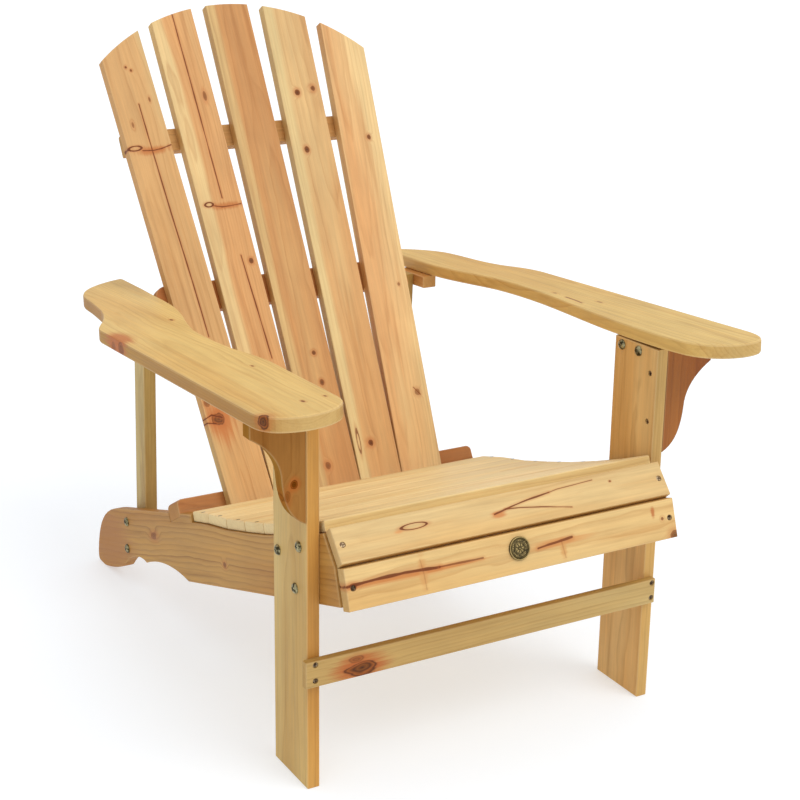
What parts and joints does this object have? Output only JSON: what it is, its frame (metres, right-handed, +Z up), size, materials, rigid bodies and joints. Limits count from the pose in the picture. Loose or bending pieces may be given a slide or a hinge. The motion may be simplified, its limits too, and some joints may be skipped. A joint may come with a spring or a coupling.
{
  "type": "armchair",
  "caption": "Slatted wooden garden armchair with a fanned high back, scooped seat, broad arms on curved brackets and sloping side rails.",
  "frame": {"origin": "on the floor, under the middle of the chair's overall box", "axes": "+Z up; -Y the way the sitter faces; the pieces named left are on the -X side"},
  "size_m": [0.724, 0.9376, 0.8918],
  "materials": {
    "frame_wood": "sanded natural fir, satin",
    "back_board_wood": "sanded natural fir with knots, satin",
    "seat_board_wood": "sanded natural fir, satin",
    "arm_wood": "sanded natural fir, satin",
    "reddish_wood": "sanded reddish heartwood, satin",
    "zinc_steel": "bright zinc plate",
    "bronze": "dark bronze, satin"
  },
  "bodies": {
    "root": {"apron_screw_left": "zinc_steel", "apron_screw_right": "zinc_steel", "arm_bolt_left_1": "zinc_steel", "arm_bolt_left_2": "zinc_steel", "arm_bolt_right_1": "zinc_steel", "arm_bolt_right_2": "zinc_steel", "arm_bracket_left": "reddish_wood", "arm_bracket_right": "reddish_wood", "arm_cleat_front_left": "reddish_wood", "arm_cleat_front_right": "reddish_wood", "arm_cleat_rear_left": "reddish_wood", "arm_cleat_rear_right": "reddish_wood", "armrest_left": "arm_wood", "armrest_right": "arm_wood", "back_batten_lower": "frame_wood", "back_batten_middle": "reddish_wood", "back_batten_upper": "reddish_wood", "back_slat_1": "back_board_wood", "back_slat_2": "back_board_wood", "back_slat_3": "back_board_wood", "back_slat_4": "back_board_wood", "back_slat_5": "back_board_wood", "badge": "bronze", "bracket_screw_left_1": "zinc_steel", "bracket_screw_left_2": "zinc_steel", "bracket_screw_right_1": "zinc_steel", "bracket_screw_right_2": "zinc_steel", "front_apron": "seat_board_wood", "front_leg_left": "frame_wood", "front_leg_right": "frame_wood", "front_stretcher": "seat_board_wood", "leg_bolt_left_1": "zinc_steel", "leg_bolt_left_2": "zinc_steel", "leg_bolt_left_3": "zinc_steel", "leg_bolt_right_1": "zinc_steel", "leg_bolt_right_2": "zinc_steel", "leg_bolt_right_3": "zinc_steel", "nose_screw_left": "zinc_steel", "nose_screw_right": "zinc_steel", "nose_slat": "seat_board_wood", "post_bolt_left_1": "zinc_steel", "post_bolt_left_2": "zinc_steel", "post_bolt_right_1": "zinc_steel", "post_bolt_right_2": "zinc_steel", "rear_post_left": "frame_wood", "rear_post_right": "frame_wood", "seat_slat_1": "seat_board_wood", "seat_slat_2": "seat_board_wood", "seat_slat_3": "seat_board_wood", "seat_slat_4": "seat_board_wood", "seat_slat_5": "seat_board_wood", "seat_slat_6": "seat_board_wood", "seat_slat_7": "seat_board_wood", "side_rail_left": "frame_wood", "side_rail_right": "frame_wood", "stretcher_screw_left_1": "zinc_steel", "stretcher_screw_left_2": "zinc_steel", "stretcher_screw_right_1": "zinc_steel", "stretcher_screw_right_2": "zinc_steel"}
  },
  "joints": []
}
